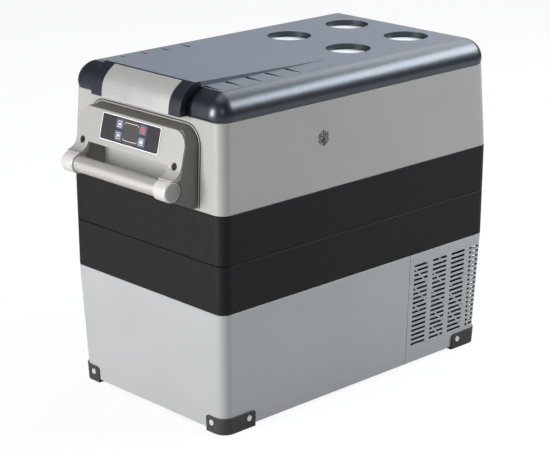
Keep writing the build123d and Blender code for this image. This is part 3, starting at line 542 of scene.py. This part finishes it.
# thin printed frame round the read-out between the buttons
lens_low, lens_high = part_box("display_lens")
lens_points = [v.co for v in frame["nodes"]["display_lens"].data.vertices]
lens_centre = (lens_low + lens_high) / 2
lens_front = lens_centre + panel_out * max((p - lens_centre).dot(panel_out) for p in lens_points)
READOUT_U, READOUT_V, READOUT_GAP, LINE, TICK = 12.8, 12.2, 1.2, 0.5, 2.6


def oblong(u0, v0, u1, v1):
    """Outline of a rectangle between two corners."""
    return [(u0, v0), (u1, v0), (u1, v1), (u0, v1)]


readout_lines = []
for side in (-1, 1):
    v = side * READOUT_V
    readout_lines.append(oblong(-READOUT_U, v - LINE / 2, READOUT_U, v + LINE / 2))
    for end in (-1, 1):
        u = end * (READOUT_U + READOUT_GAP)
        readout_lines.append(oblong(u - LINE / 2, v - side * TICK, u + LINE / 2, v))
on_lens = on_plane(panel_right, panel_up, lens_front)
readout = flat_mark("readout_lines", readout_lines, on_lens, 0.08 * MM)
add_piece(readout, "cabinet", white_print)

# bright line round the display, on the raised bezel
BEZEL_RISE = 1.15 * MM
EDGE_OUTER, EDGE_INNER = (1.4, 2.6), (0.6, 2.2)   # how far past the lens, and corner radius
half_u = (lens_high.y - lens_low.y) / 2 / MM
half_v = max((p - lens_centre).dot(panel_up) for p in lens_points) / MM
edge_loops = [rounded(half_u + past, half_v + past, corner) for past, corner in (EDGE_OUTER, EDGE_INNER)]
on_bezel = on_plane(panel_right, panel_up, lens_front + panel_out * BEZEL_RISE)
line = flat_mark("display_edge_line", edge_loops, on_bezel, 0.1 * MM)
add_piece(line, "cabinet", white_print)


def body_face(axis, sign):
    """Function from z to the upper shell's outer coordinate on that side."""
    foot, head, low, high = outer_size("upper_body_shell", axis)

    def at(z):
        return sign * (foot + (head - foot) * (z - low) / (high - low))
    return at


# snowflake mark on both long sides
FLAKE_X, FLAKE_Z, FLAKE_ARM = -78.0, 389.0, 11.0


def snowflake(hub=1.6, half=0.85, twig_half=0.6):
    """Outlines of a six-armed snowflake: a hub, and arms and twigs that start at its edges."""
    loops = [ring(hub, 6, 0)]
    for i in range(6):
        angle = 60 * i + 30
        start = ring(hub * math.cos(math.radians(30)) + 0.02, 12, angle)[0]
        loops.append(bar(half, FLAKE_ARM - hub, angle, start))
        for share, twig in ((0.48, 3.6), (0.76, 2.8)):
            for side in (-1, 1):
                along = Vector(ring(FLAKE_ARM * share, 12, angle)[0])
                out = Vector(ring(half + 0.45, 12, angle + 90 * side)[0])
                loops.append(bar(twig_half, twig, angle + 55 * side, tuple(along + out)))
    return loops


# a trim bead round each handle bracket on the body's end face, between two black wires that are painted shade for
# the grooves beside it
BRACKET_CORNER = 24 * MM
TRIM_GAP, TRIM_R = 2.9 * MM, 1.0 * MM
GROOVE_SHADE_GAPS, GROOVE_SHADE_R = (("inner", 0.9 * MM), ("outer", 4.6 * MM)), 0.7 * MM
TRIM_ROUNDNESS = 4


def bead_path(node, sign, gap):
    """Points of a bead, from one lower corner over the top to the other."""
    low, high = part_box(node)
    corner = BRACKET_CORNER + gap
    half, top = high.y + gap, high.z + gap
    face = body_face(0, sign)
    outline = [(-half, low.z + 2 * MM)]
    for start, middle in ((180, -half + corner), (90, half - corner)):
        for i in range(9):
            a = math.radians(start - 90 * i / 8)
            outline.append((middle + corner * math.cos(a), top - corner + corner * math.sin(a)))
    outline.append((half, low.z + 2 * MM))
    return [Vector((face(z) + sign * 0.2 * MM, y, z)) for y, z in outline]


for node, sign in (("front_handle_bracket", -1), ("rear_handle_bracket", 1)):
    run = (bead_path(node, sign, TRIM_GAP), False)
    trim = wire_mesh(node.replace("bracket", "trim_bead"), [run], TRIM_R, TRIM_ROUNDNESS)
    add_piece(trim, "cabinet", silver_plastic)
    # black wires laid on the face: painted shade where the grooves are
    for label, gap in GROOVE_SHADE_GAPS:
        name = node.replace("bracket", f"trim_groove_{label}")
        run = (bead_path(node, sign, gap), False)
        groove_shade = wire_mesh(name, [run], GROOVE_SHADE_R, TRIM_ROUNDNESS)
        add_piece(groove_shade, "cabinet", inner_black)

side_low, side_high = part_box("upper_body_shell")
for label, sign in (("left", -1), ("right", 1)):
    face = body_face(1, sign)
    upright = Vector((0, face(side_high.z) - face(side_low.z), side_high.z - side_low.z))
    spot = Vector((FLAKE_X * MM, face(FLAKE_Z * MM), FLAKE_Z * MM))
    on_side = on_plane((-sign, 0, 0), upright, spot)
    flake = flat_mark(f"snowflake_{label}", snowflake(), on_side, 0.5 * MM)
    add_piece(flake, "cabinet", emblem_grey)


# ---------------------------------------------------------------- wire basket
def hoop(x0, x1, half, corner, z):
    """Rounded rectangle at one height, half its width in Y."""
    middle, reach = (x0 + x1) / 2 / MM, (x1 - x0) / 2 / MM
    return [(u * MM, v * MM, z) for u, v in rounded(reach, half / MM, corner / MM, (middle, 0))]


def cradle(start, low, end, top, corner, across):
    """U-shaped wire: down, along the floor and up, in X or in Y at a fixed other coordinate."""
    def bend(middle, turn):
        angles = [math.radians(turn + 15 * k) for k in range(1, 6)]
        return [(middle + corner * math.cos(a), low + corner + corner * math.sin(a)) for a in angles]

    flat = [(start, top), (start, low + corner), *bend(start + corner, 180), (start + corner, low)]
    flat += [(end - corner, low), *bend(end - corner, 270), (end, low + corner), (end, top)]
    if across[0] == "x":
        return [(across[1], u, z) for u, z in flat]
    return [(u, across[1], z) for u, z in flat]


WIRE_R, RIM_R = 1.2 * MM, 1.9 * MM
BASKET_INSET, WIRE_INSET = 2.0 * MM, 1.6 * MM    # rim inside the CAD tray, wires inside the rim
BASKET_CORNER, WIRE_CORNER = 20 * MM, 12 * MM
WIRE_PITCH = 30 * MM


def build_basket():
    """Welded wire basket inside the outline of the CAD tray."""
    low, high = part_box("basket")
    x0, x1, half = low.x + BASKET_INSET, high.x - BASKET_INSET, high.y - BASKET_INSET
    floor, top = low.z + WIRE_R + 0.1 * MM, high.z - BASKET_INSET
    runs = []
    for lift in (70, 145, 220):
        runs.append((hoop(x0, x1, half, BASKET_CORNER, floor + lift * MM), True))
    for i in range(9):
        x = x0 + 29 * MM + i * WIRE_PITCH
        wire = cradle(WIRE_INSET - half, floor, half - WIRE_INSET, top, WIRE_CORNER, ("x", x))
        runs.append((wire, False))
    crossing = floor + 1.8 * MM
    for i in range(6):
        y = -75 * MM + i * WIRE_PITCH
        wire = cradle(x0 + WIRE_INSET, crossing, x1 - WIRE_INSET, top, WIRE_CORNER, ("y", y))
        runs.append((wire, False))
    basket = wire_mesh("basket_wires", runs, WIRE_R)
    rim = wire_mesh("basket_rim", [(hoop(x0, x1, half, BASKET_CORNER, top), True)], RIM_R)
    for obj in (basket, rim):
        bpy.context.scene.collection.objects.link(obj)
        paint(obj, wire_steel)
        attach(obj, "basket")
    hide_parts("basket")


build_basket()


# ---------------------------------------------------------------- studio
def seen_white(nodes, links, lit, white, share):
    """Mixes a white glow into a shader for what the camera sees directly, not for the light."""
    path = nodes.new("ShaderNodeLightPath")
    weight = nodes.new("ShaderNodeMath")
    weight.operation = "MULTIPLY"
    weight.inputs[1].default_value = share
    mix = nodes.new("ShaderNodeMixShader")
    links.new(path.outputs["Is Camera Ray"], weight.inputs[0])
    links.new(weight.outputs[0], mix.inputs[0])
    links.new(lit, mix.inputs[1])
    links.new(white, mix.inputs[2])
    return mix.outputs[0]


def floor_finish():
    """Pale sweep whose contact shadows stay faint."""
    finish = Finish("studio_floor", 0.7)
    cloud = finish.noise(1.5)
    finish.set("Base Color", finish.blend(cloud, (0.50, 0.50, 0.50, 1), (0.53, 0.53, 0.53, 1)))
    finish.set("Roughness", finish.spread(cloud, 0.65, 0.75))
    glow = finish.nodes.new("ShaderNodeEmission")
    glow.inputs["Strength"].default_value = 1.12
    shown = seen_white(finish.nodes, finish.links, finish.shader.outputs[0], glow.outputs[0], 0.8)
    finish.links.new(shown, finish.nodes["Material Output"].inputs["Surface"])
    return finish.material


def make_floor(half=12.0):
    """Flat studio floor, reaching half each way."""
    mesh = bpy.data.meshes.new("studio_floor")
    grid = bmesh.new()
    bmesh.ops.create_grid(grid, x_segments=8, y_segments=8, size=half)
    grid.to_mesh(mesh)
    grid.free()
    floor = bpy.data.objects.new("studio_floor", mesh)
    bpy.context.scene.collection.objects.link(floor)
    paint(floor, floor_finish())


def aim(obj, target):
    """Turns a light or camera to look at a point."""
    obj.rotation_euler = (Vector(target) - obj.location).to_track_quat("-Z", "Y").to_euler()


def softbox(name, place, target, width, height, watts, tint=(1, 1, 1), mirrored=True):
    """Soft rectangular lamp. If mirrored is False it lights, but shows in no reflection."""
    light = bpy.data.lights.new(name, "AREA")
    light.shape = "RECTANGLE"
    light.size, light.size_y = width, height
    light.energy = watts
    light.color = tint
    lamp = bpy.data.objects.new(name, light)
    lamp.location = place
    lamp.visible_glossy = mirrored
    bpy.context.scene.collection.objects.link(lamp)
    aim(lamp, target)


def make_world(glow=0.17):
    """White backdrop for the camera, and a weaker white sky for the light."""
    world = bpy.data.worlds.new("studio_white")
    world.use_nodes = True
    bpy.context.scene.world = world
    nodes, links = world.node_tree.nodes, world.node_tree.links
    sky = nodes["Background"]
    sky.inputs["Color"].default_value = (0.95, 0.98, 1.0, 1)
    sky.inputs["Strength"].default_value = glow
    backdrop = nodes.new("ShaderNodeBackground")
    backdrop.inputs["Color"].default_value = (1, 1, 1, 1)
    shown = seen_white(nodes, links, sky.outputs[0], backdrop.outputs[0], 1.0)
    links.new(shown, nodes["World Output"].inputs["Surface"])


make_floor()
make_world()

# the end face gets the most light; edge and ridge lights draw the lid's long rounded edge
MIDDLE, LID = (0, 0, 0.24), (0, 0, 0.45)
softbox("key_end", (-2.7, 0.5, 0.75), MIDDLE, 1.0, 1.2, 84, (1.0, 0.985, 0.965))
softbox("fill_side", (2.3, -2.0, 0.9), (0.25, 0, 0.2), 1.2, 1.2, 13, mirrored=False)
softbox("top", (0.0, 0.2, 2.8), MIDDLE, 2.4, 2.0, 20)
softbox("edge_light", (1.9, -1.15, 1.75), LID, 2.0, 0.9, 64, (0.91, 0.955, 1.0))
softbox("corner_light", (-2.55, -2.8, 1.75), LID, 1.0, 1.8, 12)
softbox("ridge_light", (1.9, 0.45, 2.2), LID, 1.4, 1.2, 20, (0.94, 0.97, 1.0))


# ---------------------------------------------------------------- camera
def make_camera():
    """Long lens, above the control end's near corner."""
    camera_data = bpy.data.cameras.new("camera")
    camera_data.lens = 120.9
    camera_data.sensor_width = 36.0
    camera_data.shift_x = -0.0185
    camera_data.shift_y = -0.0390
    camera = bpy.data.objects.new("camera", camera_data)
    camera.location = (-1.8116, -1.8767, 1.0430)
    bpy.context.scene.collection.objects.link(camera)
    aim(camera, (0, 0, 0.244))
    bpy.context.scene.camera = camera


make_camera()
bpy.context.scene.view_settings.view_transform = "Standard"
